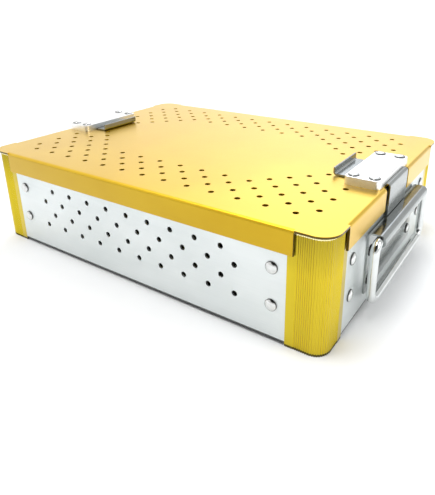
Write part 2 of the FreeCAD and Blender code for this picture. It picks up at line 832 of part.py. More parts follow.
def make_bail(label, side):
    """Round rod bent to a closed loop with rounded corners."""
    body = new_body(label)
    hinge_x = HALF_LENGTH + size("hinge_offset")
    half = size("bail_width") / 2
    drop = size("bail_drop")
    spine = new_sketch(body, "loop", "YZ_Plane", offset=hinge_x, shift_y=size("hinge_height"))
    draw_loop(spine, half, drop, size("bail_top_radius"), size("bail_bottom_radius"))
    section = new_sketch(body, "rod", "XZ_Plane", shift_x=hinge_x, shift_y=size("hinge_height"))
    circle(section, 0.0, 0.0, size("bail_rod") / 2)
    pipe = body.newObject("PartDesign::AdditivePipe", body.Label + "_pipe")
    pipe.Profile = section
    pipe.Spine = (spine, ["Edge%d" % (i + 1) for i in range(9)])
    body.Tip = pipe
    turn_to_end(body, side)
    return body


def draw_loop(sketch, half, drop, top_radius, bottom_radius):
    """Loop that starts and ends at the middle of its top run, which lies on the sketch's X axis."""
    h = number(half)
    d = number(drop)
    t = number(top_radius)
    b = number(bottom_radius)
    runs = [
        Part.LineSegment(Vector(0, 0, 0), Vector(h - t, 0, 0)),
        Part.LineSegment(Vector(h, -t, 0), Vector(h, b - d, 0)),
        Part.LineSegment(Vector(h - b, -d, 0), Vector(b - h, -d, 0)),
        Part.LineSegment(Vector(-h, b - d, 0), Vector(-h, -t, 0)),
        Part.LineSegment(Vector(t - h, 0, 0), Vector(0, 0, 0)),
    ]
    bends = [
        (Vector(h - t, -t, 0), t, 0.0, 90.0),
        (Vector(h - b, b - d, 0), b, 270.0, 360.0),
        (Vector(b - h, b - d, 0), b, 180.0, 270.0),
        (Vector(t - h, -t, 0), t, 90.0, 180.0),
    ]
    order = []
    for i, run in enumerate(runs):
        order.append(sketch.addGeometry(run, False))
        if i < len(bends):
            centre, radius, start, stop = bends[i]
            curve = Part.Circle(centre, Vector(0, 0, 1), radius)
            arc = Part.ArcOfCircle(curve, math.radians(start), math.radians(stop))
            order.append(sketch.addGeometry(arc, False))
    for i in range(0, 8, 2):
        line, arc, after = order[i], order[i + 1], order[i + 2]
        sketch.addConstraint(Sketcher.Constraint("Tangent", line, 2, arc, 2))
        sketch.addConstraint(Sketcher.Constraint("Tangent", arc, 1, after, 1))
    sketch.addConstraint(Sketcher.Constraint("Coincident", order[0], 1, -1, 1))
    sketch.addConstraint(Sketcher.Constraint("Coincident", order[8], 2, -1, 1))
    for line in (order[0], order[4], order[8]):
        sketch.addConstraint(Sketcher.Constraint("Horizontal", line))
    for line in (order[2], order[6]):
        sketch.addConstraint(Sketcher.Constraint("Vertical", line))
    constrain(sketch, "Radius", order[1], top_radius)
    constrain(sketch, "Radius", order[3], bottom_radius)
    constrain(sketch, "Radius", order[5], bottom_radius)
    constrain(sketch, "Radius", order[7], top_radius)
    constrain(sketch, "DistanceX", -1, 1, order[2], 1, half)
    constrain(sketch, "DistanceX", order[6], 2, -1, 1, half)
    constrain(sketch, "DistanceY", order[4], 1, -1, 1, drop)


# Rivets: domed head, shank through the stack and a flat tail

def rivet_solid(head, dome, shank, grip, tail, tail_height):
    """A rivet along +Z, with its head's seat at z = 0 and its shank below."""
    sphere = (head * head / 4 + dome * dome) / (2 * dome)
    rise = math.asin(head / 2 / sphere) / 2
    middle = Vector(sphere * math.sin(rise), 0, dome - sphere + sphere * math.cos(rise))
    edges = [
        Part.Arc(Vector(0, 0, dome), middle, Vector(head / 2, 0, 0)).toShape(),
        Part.makeLine(Vector(head / 2, 0, 0), Vector(shank / 2, 0, 0)),
        Part.makeLine(Vector(shank / 2, 0, 0), Vector(shank / 2, 0, -grip)),
        Part.makeLine(Vector(shank / 2, 0, -grip), Vector(tail / 2, 0, -grip)),
        Part.makeLine(Vector(tail / 2, 0, -grip), Vector(tail / 2, 0, -grip - tail_height)),
        Part.makeLine(Vector(tail / 2, 0, -grip - tail_height), Vector(0, 0, -grip - tail_height)),
        Part.makeLine(Vector(0, 0, -grip - tail_height), Vector(0, 0, dome)),
    ]
    face = Part.Face(Part.Wire(edges))
    return face.revolve(Vector(0, 0, 0), Vector(0, 0, 1), 360.0)


def make_rivets(label, seats, grip, head="rivet_head", dome="rivet_dome"):
    """A group of equal rivets: each seat is the head's place and the way the head faces."""
    solids = []
    for place, direction in seats:
        rivet = rivet_solid(number(size(head)), number(size(dome)), number(size("rivet_shank")), grip,
                            number(size("rivet_tail")), number(size("rivet_tail_height")))
        rivet.Placement = Placement(place, Rotation(Vector(0, 0, 1), direction))
        solids.append(rivet)
    group = DOC.addObject("Part::Feature", label)
    group.Label = label
    group.Shape = Part.makeCompound(solids)
    NODES.append(group)
    return group


def make_post_rivets(label, side_x, side_y):
    """Two rivets through each wall that meets the post."""
    grip = number(size("post_wall"))
    seats = []
    for height in (number(size("post_rivet_high")), number(size("post_rivet_low"))):
        x = number(POST_RIVET_X) * side_x
        y = number(HALF_WIDTH) * side_y
        seats.append((Vector(x, y, height), Vector(0, side_y, 0)))
        x = number(HALF_LENGTH) * side_x
        y = number(POST_RIVET_Y) * side_y
        seats.append((Vector(x, y, height), Vector(side_x, 0, 0)))
    return make_rivets(label, seats, grip)


def make_bracket_rivets(label, side):
    """Four rivets through the bracket's back plate and the end wall."""
    grip = number(size("bracket_gauge") + size("pan_gauge"))
    x = number(HALF_LENGTH + size("bracket_gauge")) * side
    seats = []
    for height in (number(size("bracket_rivet_high")), number(size("bracket_rivet_low"))):
        for y in (number(BRACKET_RIVET_Y), -number(BRACKET_RIVET_Y)):
            seats.append((Vector(x, y, height), Vector(side, 0, 0)))
    return make_rivets(label, seats, grip)


def make_block_rivets(label, side):
    """Four rivets through the latch block and the lid."""
    grip = number(size("block_height") + size("lid_gauge"))
    top = number(LID_TOP + size("block_height"))
    half_pitch = number(size("block_rivet_pitch") / 2)
    half_span = number(size("block_rivet_span") / 2)
    seats = []
    for x in (number(BLOCK_RIVET_X) - half_pitch, number(BLOCK_RIVET_X) + half_pitch):
        for y in (-half_span, half_span):
            seats.append((Vector(x * side, y, top), Vector(0, 0, 1)))
    return make_rivets(label, seats, grip, "block_rivet_head", "block_rivet_dome")


def build():
    """Make every piece of the tray."""
    make_pan()
    for front_back, side_y in (("front", -1), ("back", 1)):
        for left_right, side_x in (("left", -1), ("right", 1)):
            corner = "%s_%s" % (front_back, left_right)
            make_post("corner_post_" + corner, side_x, side_y)
            make_post_rivets("post_rivets_" + corner, side_x, side_y)
    make_lid()
    for name, side in (("left", -1), ("right", 1)):
        make_latch_block("latch_block_" + name, side)
        make_block_rivets("latch_rivets_" + name, side)
        make_latch_slide("latch_slide_" + name, side)
        make_bracket("handle_bracket_" + name, side)
        make_bracket_rivets("handle_rivets_" + name, side)
        make_bail("handle_bail_" + name, side)


def check():
    """Stop if any object failed or any piece is empty or broken."""
    for item in DOC.Objects:
        if "Invalid" in item.State or "Error" in item.State:
            raise RuntimeError("%s: %s" % (item.Name, item.State))
    for node in NODES:
        if node.Shape.isNull() or not node.Shape.isValid():
            raise RuntimeError("%s has no valid shape" % node.Label)


def export():
    """Write each piece to its own file and print its solids and volume."""
    os.makedirs("parts", exist_ok=True)
    for node in NODES:
        node.Shape.exportStep("parts/%s.step" % node.Label)
        print("%-26s %2d solids %10.1f mm3" % (node.Label, len(node.Shape.Solids), node.Shape.Volume))


fill_sheet()
build()
DOC.recompute()
check()
export()
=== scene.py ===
# %% [markdown]
# # A perforated sterilization tray
#
# The object is a folded aluminium pan with gold ribbed corner posts, a gold lid that lifts off,
# a sliding latch at each end of the lid and a drop handle on each end wall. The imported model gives
# every sheet its true shape, so this lesson adds what a drawing leaves out: edges that catch the
# light, round rivets and rods, rolled ribs, and metals that look like themselves.

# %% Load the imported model
import math

import bmesh
import bpy
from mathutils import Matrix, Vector


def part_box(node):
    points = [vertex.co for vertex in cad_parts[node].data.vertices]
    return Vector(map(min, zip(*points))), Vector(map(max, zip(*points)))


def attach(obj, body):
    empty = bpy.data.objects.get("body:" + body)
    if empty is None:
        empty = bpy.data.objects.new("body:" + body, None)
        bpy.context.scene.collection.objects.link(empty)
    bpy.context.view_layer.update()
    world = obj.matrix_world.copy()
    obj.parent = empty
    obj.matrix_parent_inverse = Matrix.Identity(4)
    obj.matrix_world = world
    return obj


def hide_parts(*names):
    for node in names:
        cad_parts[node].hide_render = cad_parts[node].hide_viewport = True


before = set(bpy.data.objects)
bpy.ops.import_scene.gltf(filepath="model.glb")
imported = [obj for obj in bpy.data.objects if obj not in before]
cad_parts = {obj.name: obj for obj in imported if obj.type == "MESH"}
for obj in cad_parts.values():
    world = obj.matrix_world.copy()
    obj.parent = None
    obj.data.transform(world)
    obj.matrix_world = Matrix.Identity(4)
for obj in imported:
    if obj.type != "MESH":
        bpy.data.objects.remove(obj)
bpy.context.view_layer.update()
MM = 0.001

# %% [markdown]
# ## The camera
#
# A camera can be placed by eye, or worked out from straight edges that are known to be level or
# upright. This one was worked out from the edges and holes of the tray, so it stands where the
# picture was taken from: in front of the right-hand corner, a little above the lid. A small
# shift keeps the picture's crop without turning the camera.

# %% Camera
camera = bpy.data.objects.new("Camera", bpy.data.cameras.new("Camera"))
bpy.context.scene.collection.objects.link(camera)
camera.location = (0.23280, -0.32247, 0.19396)
camera.rotation_euler = [math.radians(turn) for turn in (69.276, 0.888, 34.794)]
camera.data.lens = 35.583
camera.data.shift_x = -0.010434
camera.data.shift_y = -0.132602
camera.data.clip_start = 0.01
bpy.context.scene.camera = camera
print("camera lens in mm:", camera.data.lens)

# %% [markdown]
# ## Colours and nodes
#
# Colours are written as the eye sees them on a screen, and a shader works with amounts of light,
# so one function turns one into the other. A second one adds a node of any kind, sets it up and
# links it. An input may be a number, a socket or a whole node, which stands for its first output,
# so a chain of nodes reads from top to bottom.

# %% Colour and node helpers
MATH = "ShaderNodeMath"
VECTOR_MATH = "ShaderNodeVectorMath"


def linear(colour):
    """The amounts of light of an sRGB colour written as rrggbb."""
    parts = [int(colour[i:i + 2], 16) / 255 for i in (0, 2, 4)]
    light = [p / 12.92 if p <= 0.04045 else ((p + 0.055) / 1.055) ** 2.4 for p in parts]
    return (*light, 1.0)


def add(tree, kind, inputs=None, **settings):
    """Add a node with its settings, then set or link its inputs by name or number."""
    node = tree.nodes.new(kind)
    for name, value in settings.items():
        setattr(node, name, value)
    for name, value in (inputs or {}).items():
        if isinstance(value, bpy.types.Node):
            value = value.outputs[0]
        if isinstance(value, bpy.types.NodeSocket):
            tree.links.new(value, node.inputs[name])
        else:
            node.inputs[name].default_value = value
    return node


print("half grey on the screen is", round(linear("808080")[0], 3), "of the light")

# %% [markdown]
# ## The floor
#
# The tray was photographed on plain white. A curved paper sweep could be modelled, but a large
# flat sheet under a white sky looks the same here, because its far edge is lost in white. Faint
# fibres keep it from looking like a void.

# %% Floor
FLOOR_HALF = 4.0
FIBRE_SCALE = 60.0
PAPER_ROUGHNESS = 0.75
PAPER_SHINE = 0.2
floor_mesh = bpy.data.meshes.new("floor")
corners = [(-FLOOR_HALF, -FLOOR_HALF, 0), (FLOOR_HALF, -FLOOR_HALF, 0)]
corners += [(FLOOR_HALF, FLOOR_HALF, 0), (-FLOOR_HALF, FLOOR_HALF, 0)]
floor_mesh.from_pydata(corners, [], [(0, 1, 2, 3)])
floor = bpy.data.objects.new("floor", floor_mesh)
bpy.context.scene.collection.objects.link(floor)

paper = bpy.data.materials.new("white paper sweep, matte")
paper.use_nodes = True
paper_shader = paper.node_tree.nodes["Principled BSDF"]
place = add(paper.node_tree, "ShaderNodeTexCoord").outputs["Object"]
fibre = add(paper.node_tree, "ShaderNodeTexNoise", {
    "Vector": place, "Scale": FIBRE_SCALE, "Detail": 4.0})
tone = add(paper.node_tree, "ShaderNodeValToRGB", {"Fac": fibre})
tone.color_ramp.elements[0].color = linear("f7f8f9")
tone.color_ramp.elements[1].color = linear("fafbfb")
paper.node_tree.links.new(tone.outputs["Color"], paper_shader.inputs["Base Color"])
paper_shader.inputs["Roughness"].default_value = PAPER_ROUGHNESS
paper_shader.inputs["Specular IOR Level"].default_value = PAPER_SHINE
floor_mesh.materials.append(paper)
print("floor is", FLOOR_HALF * 2, "m across")

# %% [markdown]
# ## The sky
#
# Metal shows what surrounds it, so an even white sky would leave it flat. This one is brighter on
# the left and just above the horizon. A cool bright panel over the back pales the lid's near
# corner, and a dark patch over the front, like an unlit wall, draws a dark crescent in every
# rivet. Lamps and cards could be built round the tray for this, but a sky that knows its
# directions is simpler: each form is one direction and how closely the sky faces it. The camera
# itself sees plain white in place of this sky, like the paper behind a product.

# %% Sky
WHITE = (1.0, 1.0, 1.0, 1.0)
COOL_WHITE = (0.95, 1.0, 1.12, 1.0)
DARK_PATCH_LIGHT = 0.04
PANEL_LIGHT = 2.0
SEEN_LIGHT = 1.1
world = bpy.data.worlds.new("soft studio")
bpy.context.scene.world = world
world.use_nodes = True
sky = world.node_tree
backdrop = sky.nodes["Background"]
way = add(sky, "ShaderNodeTexCoord").outputs["Generated"]


def facing(direction, start, stop, low, high):
    """How far the sky faces a direction, run smoothly from low to high between two amounts."""
    unit = tuple(Vector(direction).normalized())
    share = add(sky, VECTOR_MATH, {0: way, 1: unit}, operation="DOT_PRODUCT").outputs["Value"]
    inputs = {"Value": share, "From Min": start, "From Max": stop, "To Min": low, "To Max": high}
    return add(sky, "ShaderNodeMapRange", inputs, interpolation_type="SMOOTHSTEP")


left_to_right = facing((1.0, -0.15, 0.0), -1.0, 0.1, 1.24, 0.92)
horizon_haze = facing((0.0, 0.0, 1.0), 0.05, 0.16, 1.08, 0.84)
dark_patch = facing((0.16, -0.64, 0.75), 0.78, 0.86, 1.0, DARK_PATCH_LIGHT)
bright_patch = facing((-0.26, 0.70, 0.66), 0.90, 0.985, 0.0, PANEL_LIGHT)
hazy = add(sky, MATH, {0: left_to_right, 1: horizon_haze}, operation="MULTIPLY")
strength = add(sky, MATH, {0: hazy, 1: dark_patch}, operation="MULTIPLY")
sky.links.new(strength.outputs["Value"], backdrop.inputs["Strength"])
backdrop.inputs["Color"].default_value = WHITE
panel = add(sky, "ShaderNodeBackground", {"Color": COOL_WHITE, "Strength": bright_patch})
mirrored = add(sky, "ShaderNodeAddShader", {0: backdrop, 1: panel})
seen = add(sky, "ShaderNodeBackground", {"Color": WHITE, "Strength": SEEN_LIGHT})
in_view = add(sky, "ShaderNodeLightPath").outputs["Is Camera Ray"]
chosen = add(sky, "ShaderNodeMixShader", {0: in_view, 1: mirrored, 2: seen})
sky.links.new(chosen.outputs["Shader"], sky.nodes["World Output"].inputs["Surface"])
print("sky nodes:", len(sky.nodes))

# %% [markdown]
# ## The lamps
#
# In the photograph only a thin dark line under the tray and a soft grey shadow on its right show
# that it stands on something. A sun lamp with a very wide disc stands for a large window on the
# left and gives that soft shadow, which a small lamp couldn't. A square lamp on the right lifts
# the end wall and the floor beside it. The plain view transform keeps white paper white.

# %% Lamps
WINDOW_LIGHT = 1.6
WINDOW_WIDTH_DEG = 32
FILL_WATTS = 2.0
FILL_SIZE = 0.5


def hang(lamp, spot, aim):
    """Hang a lamp at a spot and point it along a direction."""
    holder = bpy.data.objects.new(lamp.name, lamp)
    bpy.context.scene.collection.objects.link(holder)
    holder.location = spot
    holder.rotation_euler = Vector(aim).to_track_quat("-Z", "Y").to_euler()
    print(lamp.name, "with energy", round(lamp.energy, 2))


fill = bpy.data.lights.new("fill light", "AREA")
fill.shape = "SQUARE"
fill.size = FILL_SIZE
fill.energy = FILL_WATTS
hang(fill, (0.75, 0.05, 0.5), (-0.55, -0.05, -0.5))

window = bpy.data.lights.new("broad window light", "SUN")
window.energy = WINDOW_LIGHT
window.angle = math.radians(WINDOW_WIDTH_DEG)
hang(window, (0.0, 0.0, 0.0), (0.3, 0.2, -1.3))
bpy.context.scene.view_settings.view_transform = "Standard"
bpy.context.scene.view_settings.look = "None"

# %% [markdown]
# ## The metals
#
# Every part is metal, so what sets the parts apart is how each surface was finished. A metal
# shader needs a colour for what it reflects, a roughness for how blurred the reflection is, and
# small bumps for grain. Patterns are placed by the Object coordinates, which here are metres from
# the middle of the tray's foot, so a noise that is stretched by one over a size has features of
# that size. One noise drives both roughness and bumps, as one scratch does both on real metal.

# %% A start for every metal
NOISE_LOW = 0.3
NOISE_HIGH = 0.7


def metal(name, colour, roughness):
    """A metal material with one colour and roughness, ready for its own nodes."""
    made = bpy.data.materials.new(name)
    made.use_nodes = True
    shader = made.node_tree.nodes["Principled BSDF"]
    shader.inputs["Base Color"].default_value = linear(colour)
    shader.inputs["Metallic"].default_value = 1.0
    shader.inputs["Roughness"].default_value = roughness
    print("metal:", name)
    return made, made.node_tree, shader


def grain(tree, size_mm, detail=3.0):
    """A noise whose features have the given sizes in millimetres along x, y and z."""
    place = add(tree, "ShaderNodeTexCoord").outputs["Object"]
    scales = [1 / (size * MM) for size in size_mm]
    stretched = add(tree, "ShaderNodeMapping", {"Vector": place, "Scale": scales})
    return add(tree, "ShaderNodeTexNoise", {"Vector": stretched, "Scale": 1.0, "Detail": detail})


def two_tones(tree, noise, first, second):
    """A colour that drifts between two as a noise runs over its middle part."""
    factor = add(tree, "ShaderNodeMapRange", {
        "Value": noise, "From Min": NOISE_LOW, "From Max": NOISE_HIGH})
    inputs = {"Factor": factor, 6: linear(first), 7: linear(second)}
    return add(tree, "ShaderNodeMix", inputs, data_type="RGBA").outputs[2]


def finish_metal(tree, shader, colour, noise, roughness, relief_mm=0.0):
    """Give a metal its colour, and let a noise vary its roughness and raise small bumps."""
    varied = add(tree, "ShaderNodeMapRange", {
        "Value": noise, "From Min": NOISE_LOW, "From Max": NOISE_HIGH,
        "To Min": roughness[0], "To Max": roughness[1]})
    tree.links.new(colour, shader.inputs["Base Color"])
    tree.links.new(varied.outputs["Result"], shader.inputs["Roughness"])
    if relief_mm:
        bump = add(tree, "ShaderNodeBump", {
            "Height": noise, "Distance": relief_mm * MM, "Strength": 1.0})
        tree.links.new(bump.outputs["Normal"], shader.inputs["Normal"])


# %% [markdown]
# ### Places on a metal
#
# Cut edges, the foot and the flanges are painted darker than the open sheet. This is painted
# shade: it stands for the shade in the gaps, under the tabs, in the fold at the foot and on
# flanges that face the floor. Separate materials could hold it, but these are only places on
# one sheet, so a mask that is 1 inside a box finds them. The tray is alike in all four
# quarters, so the mask looks at one quarter and its mirror images.

# %% Masks
FAR_MM = 200
BELOW_MM = -10


def region(tree, low_mm, high_mm):
    """1 in a box given in millimetres and in its mirror images across the tray, 0 elsewhere."""
    middle = [(low + high) / 2 * MM for low, high in zip(low_mm, high_mm)]
    half = [(high - low) / 2 * MM for low, high in zip(low_mm, high_mm)]
    place = add(tree, "ShaderNodeTexCoord").outputs["Object"]
    quarter = add(tree, VECTOR_MATH, {0: place}, operation="ABSOLUTE")
    offset = add(tree, VECTOR_MATH, {0: quarter, 1: middle}, operation="SUBTRACT")
    away = add(tree, VECTOR_MATH, {0: offset}, operation="ABSOLUTE")
    past = add(tree, VECTOR_MATH, {0: away, 1: half}, operation="SUBTRACT")
    parts = add(tree, "ShaderNodeSeparateXYZ", {"Vector": past}).outputs
    across = add(tree, MATH, {0: parts["X"], 1: parts["Y"]}, operation="MAXIMUM")
    worst = add(tree, MATH, {0: across, 1: parts["Z"]}, operation="MAXIMUM")
    return add(tree, MATH, {0: worst, 1: 0.0}, operation="LESS_THAN")


def shaded(tree, colour, mask, share):
    """The colour, darkened to a share of itself where a mask is 1."""
    dim = add(tree, "ShaderNodeMapRange", {"Value": mask, "To Min": 1.0, "To Max": share})
    darker = add(tree, VECTOR_MATH, {0: colour, "Scale": dim}, operation="SCALE")
    return darker.outputs["Vector"]


# %% [markdown]
# ### Gold anodised sheet
#
# The lid is aluminium sheet that was etched matt, dyed gold in its oxide skin and sealed. The
# eye gets a deep gold under a clear skin: face on it is rich, and at a low angle the skin adds
# a white sheen. A clear coat over a gold metal does the same. Etching leaves a grain of about
# half a millimetre, and the dye takes up a little unevenly over a few centimetres. The long
# flanges are darkened as painted shade, because they face the floor, and the sheared ends of the
# flanges and the edges of the corner tabs are painted nearly black as shade in the gaps.

# %% Gold anodised sheet
GOLD_CLOUD_MM = 45
ETCH_GRAIN_MM = 0.5
BEND_FOOT_MM = 76.3
LONG_FACE_MM = 109.4
LONG_END_MM = 129.2
SHORT_FACE_MM = 150.4
SHORT_END_MM = 88.2
TAB_UNDERSIDE_MM = 77.65
TAB_ROOT_MM = (129.6, 88.6)
# Shares of painted shade: on the long flanges and on the cut edges.
LONG_FLANGE_SHADE_SHARE = 0.72
CUT_EDGE_SHADE_SHARE = 0.12
gold_sheet, tree, shader = metal("gold anodised sheet, etched", "dcb91e", 0.36)
cloud = grain(tree, (GOLD_CLOUD_MM,) * 3)
etch = grain(tree, (ETCH_GRAIN_MM,) * 3)
flange_top = (FAR_MM, FAR_MM, BEND_FOOT_MM)
# Painted shade: the long flanges face the floor, so their gold is darkened.
long_flange_shade = region(tree, (BELOW_MM, LONG_FACE_MM, BELOW_MM), flange_top)
# Painted shade: the flanges' end faces and the tabs' cut edges are painted nearly black, for the
# shade in the gaps and under the tabs.
long_end_gap_shade = region(tree, (LONG_END_MM, LONG_FACE_MM, BELOW_MM), flange_top)
short_end_gap_shade = region(tree, (SHORT_FACE_MM, SHORT_END_MM, BELOW_MM), flange_top)
tab_edge_shade = region(tree, (*TAB_ROOT_MM, BELOW_MM), (FAR_MM, FAR_MM, TAB_UNDERSIDE_MM))
gold = shaded(tree, two_tones(tree, cloud, "dfb40e", "e6bd18"), long_flange_shade, LONG_FLANGE_SHADE_SHARE)
cut_end_shade = add(tree, MATH, {0: long_end_gap_shade, 1: short_end_gap_shade}, operation="MAXIMUM")
cut_edge_shade = add(tree, MATH, {0: tab_edge_shade, 1: cut_end_shade}, operation="MAXIMUM")
gold = shaded(tree, gold, cut_edge_shade, CUT_EDGE_SHADE_SHARE)
finish_metal(tree, shader, gold, etch, (0.3, 0.42), relief_mm=0.006)

# %% [markdown]
# ### Gold anodised extrusion
#
# The posts were pushed through a die and dyed in the same bath. The die leaves satin metal whose
# colour hardly changes along the bar, so its noise is stretched upright. Under the lid's edge the
# post is darkened towards its top as painted shade, a painted highlight draws a pale line along
# its top end, and a painted shadow draws a thin dark line at its foot.

# %% Gold anodised extrusion
POST_CLOUD_MM = 30
POST_CLOUD_RUN_MM = 900
POST_FOOT_SHADOW_MM = 1.6
TOP_HIGHLIGHT_FROM_MM = 74.5
SHADE_STARTS_MM = 50
SHADE_ENDS_MM = 74
SHADE_SHARE = 0.66
FOOT_SHADOW_SHARE = 0.15
gold_bar, tree, shader = metal("gold anodised extrusion", "d2b22a", 0.34)
cloud = grain(tree, (POST_CLOUD_MM, POST_CLOUD_MM, POST_CLOUD_RUN_MM))
place = add(tree, "ShaderNodeTexCoord").outputs["Object"]
height = add(tree, "ShaderNodeSeparateXYZ", {"Vector": place}).outputs["Z"]
# Painted shade: the post's colour darkens towards its top, under the lid's edge.
shade_under_lid = add(tree, "ShaderNodeMapRange", {
    "Value": height, "From Min": SHADE_STARTS_MM * MM, "From Max": SHADE_ENDS_MM * MM})
dyed_and_shaded = shaded(tree, two_tones(tree, cloud, "cbb214", "d4bc1f"), shade_under_lid, SHADE_SHARE)
# Painted highlight: a pale cream band along the top of the post.
top_highlight = region(tree, (BELOW_MM, BELOW_MM, TOP_HIGHLIGHT_FROM_MM), (FAR_MM, FAR_MM, FAR_MM))
inputs = {"Factor": top_highlight, 6: dyed_and_shaded, 7: linear("f6ecb8")}
with_top_highlight = add(tree, "ShaderNodeMix", inputs, data_type="RGBA").outputs[2]
# Painted shadow: a thin dark line at the post's foot.
foot = region(tree, (BELOW_MM, BELOW_MM, BELOW_MM), (FAR_MM, FAR_MM, POST_FOOT_SHADOW_MM))
finish_metal(tree, shader, shaded(tree, with_top_highlight, foot, FOOT_SHADOW_SHARE), cloud, (0.32, 0.36))

# %% The clear skin on both golds
SKIN_ROUGHNESS = 0.3
SKIN_IOR = 1.3
for skinned in (gold_sheet, gold_bar):
    skin = skinned.node_tree.nodes["Principled BSDF"].inputs
    skin["Coat Weight"].default_value = 1.0
    skin["Coat Roughness"].default_value = SKIN_ROUGHNESS
    skin["Coat IOR"].default_value = SKIN_IOR
    print(skinned.name, "has a clear skin")

# %% [markdown]
# ### Brushed aluminium sheet
#
# The pan was brushed before it was folded, then given a clear oxide skin. Brushing leaves
# scratches that run level along each wall, a few centimetres long and a few tenths of a
# millimetre across, which blur reflections across themselves and give a pale silk look. They are
# drawn 0.6 mm across, coarser than real ones, so that they still show from the camera. A
# painted shadow darkens the fold at the foot, a dark line all round.

# %% Brushed aluminium sheet
SCRATCH_MM = 0.6
SCRATCH_RUN_MM = 40
SMEAR_MM = (60, 60, 25)
PAN_FOOT_SHADOW_MM = 3.2
brushed_sheet, tree, shader = metal("aluminium sheet, brushed", "dde2e1", 0.42)
scratches = grain(tree, (SCRATCH_RUN_MM, SCRATCH_RUN_MM, SCRATCH_MM))
smear = grain(tree, SMEAR_MM)
# Painted shadow: a dark line along the pan's foot.
foot = region(tree, (BELOW_MM, BELOW_MM, BELOW_MM), (FAR_MM, FAR_MM, PAN_FOOT_SHADOW_MM))
silk = shaded(tree, two_tones(tree, smear, "d9dedd", "e2e6e5"), foot, FOOT_SHADOW_SHARE)
finish_metal(tree, shader, silk, scratches, (0.36, 0.5), relief_mm=0.008)

# %% [markdown]
# ### Satin block, stainless steel and rivet metal
#
# The latch blocks are milled aluminium, tumbled to a pale satin. The slides and brackets are
# stainless sheet as it left the rolls, darker and a little streaky. The handles are stainless
# rod polished on a wheel, which leaves hair-fine marks and a clear reflection. The rivets are
# soft aluminium, pressed smooth by the setting tool, with painted shade round the rim of each
# head, where it meets the sheet.

# %% Satin aluminium block
TUMBLE_MM = 0.6
block_metal, tree, shader = metal("aluminium block, tumbled", "f2f2f0", 0.34)
tumble = grain(tree, (TUMBLE_MM,) * 3)
pale = two_tones(tree, tumble, "eeeeec", "f6f6f4")
finish_metal(tree, shader, pale, tumble, (0.28, 0.4), relief_mm=0.004)

# %% Bright rolled stainless sheet
MARK_MM = 0.4
ROLL_RUN_MM = 14
ROLL_CLOUD_MM = 15
steel_sheet, tree, shader = metal("stainless steel sheet, bright rolled", "aeb2b1", 0.16)
marks = grain(tree, (MARK_MM, ROLL_RUN_MM, MARK_MM))
streaky = two_tones(tree, grain(tree, (ROLL_CLOUD_MM,) * 3), "9da1a0", "aaaead")
finish_metal(tree, shader, streaky, marks, (0.12, 0.24), relief_mm=0.001)

# %% Wheel polished stainless rod
POLISH_RUN_MM = 10
POLISH_CLOUD_MM = 12
steel_rod, tree, shader = metal("stainless steel rod, wheel polished", "d8dad9", 0.12)
marks = grain(tree, (MARK_MM, POLISH_RUN_MM, MARK_MM))
bright = two_tones(tree, grain(tree, (POLISH_CLOUD_MM,) * 3), "d2d5d4", "dee0df")
finish_metal(tree, shader, bright, marks, (0.07, 0.17), relief_mm=0.001)

# %% Bright rivet aluminium
DENT_MM = 2.5
RIM_SHADE_SHARE = 0.12
rivet_metal, tree, shader = metal("aluminium rivet, pressed", "e2e3e1", 0.24)
dents = grain(tree, (DENT_MM,) * 3, detail=1.0)
# Painted shade: the rim of each rivet head is darkened, where it meets the sheet.
rim_shade = add(tree, "ShaderNodeAttribute", attribute_name="rim_shade").outputs["Fac"]
rimmed = shaded(tree, two_tones(tree, dents, "d2d3d1", "dfe0de"), rim_shade, RIM_SHADE_SHARE)
finish_metal(tree, shader, rimmed, dents, (0.07, 0.14))

# %% [markdown]
# ## Sheets and blocks with broken edges
#
# A drawn edge is perfectly sharp, and a real one is never so: a punch rounds it over and
# deburring breaks it, and that thin rounded line is what glints. The drawing's mesh already has
# the true shape, so a copy of it is merged, its flat triangles are joined, and a Bevel modifier
# rounds each edge by a fraction of a millimetre. The bevel's width is measured as an absolute
# offset, because the other ways draw long spikes where a cut meets a bend. The original is
# hidden, not changed.

# %% Broken edges
FLAT_DEG = 0.5
SAME_POINT = 1e-6
SHARP_DEG = 40


def place_piece(piece, body, slot_name, *nodes):
    """Let a finished piece ride on its body and stand for its nodes."""
    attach(piece, body)
    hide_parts(*nodes)
    print(piece.name, "rides on", body, "with", len(piece.data.polygons), "faces")


def merged_copy(node, name):
    """A new object with the node's mesh, its loose triangles joined into faces."""
    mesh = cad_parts[node].data.copy()
    mesh.name = name
    if "custom_normal" in mesh.attributes:
        mesh.attributes.remove(mesh.attributes["custom_normal"])
    work = bmesh.new()
    work.from_mesh(mesh)
    bmesh.ops.remove_doubles(work, verts=work.verts, dist=SAME_POINT)
    flat = math.radians(FLAT_DEG)
    bmesh.ops.dissolve_limit(work, angle_limit=flat, verts=work.verts, edges=work.edges)
    for face in work.faces:
        face.smooth = True
    work.to_mesh(mesh)
    work.free()
    mesh.materials.clear()
    piece = bpy.data.objects.new(name, mesh)
    bpy.context.scene.collection.objects.link(piece)
    return piece


def bake(piece):
    """Swap a piece's mesh for what its modifiers make of it, and remove them."""
    seen = piece.evaluated_get(bpy.context.evaluated_depsgraph_get())
    mesh = bpy.data.meshes.new_from_object(seen)
    piece.modifiers.clear()
    piece.data = mesh


def broken_edges(node, width_mm, material):
    """A copy of a node whose sharp edges are rounded."""
    piece = merged_copy(node, node + "_edged")
    bevel = piece.modifiers.new("broken edges", "BEVEL")
    bevel.offset_type = "ABSOLUTE"
    bevel.width = width_mm * MM
    bevel.segments = 2
    bevel.angle_limit = math.radians(SHARP_DEG)
    bevel.use_clamp_overlap = False
    bevel.harden_normals = True
    bake(piece)
    piece.data.materials.append(material)
    return piece


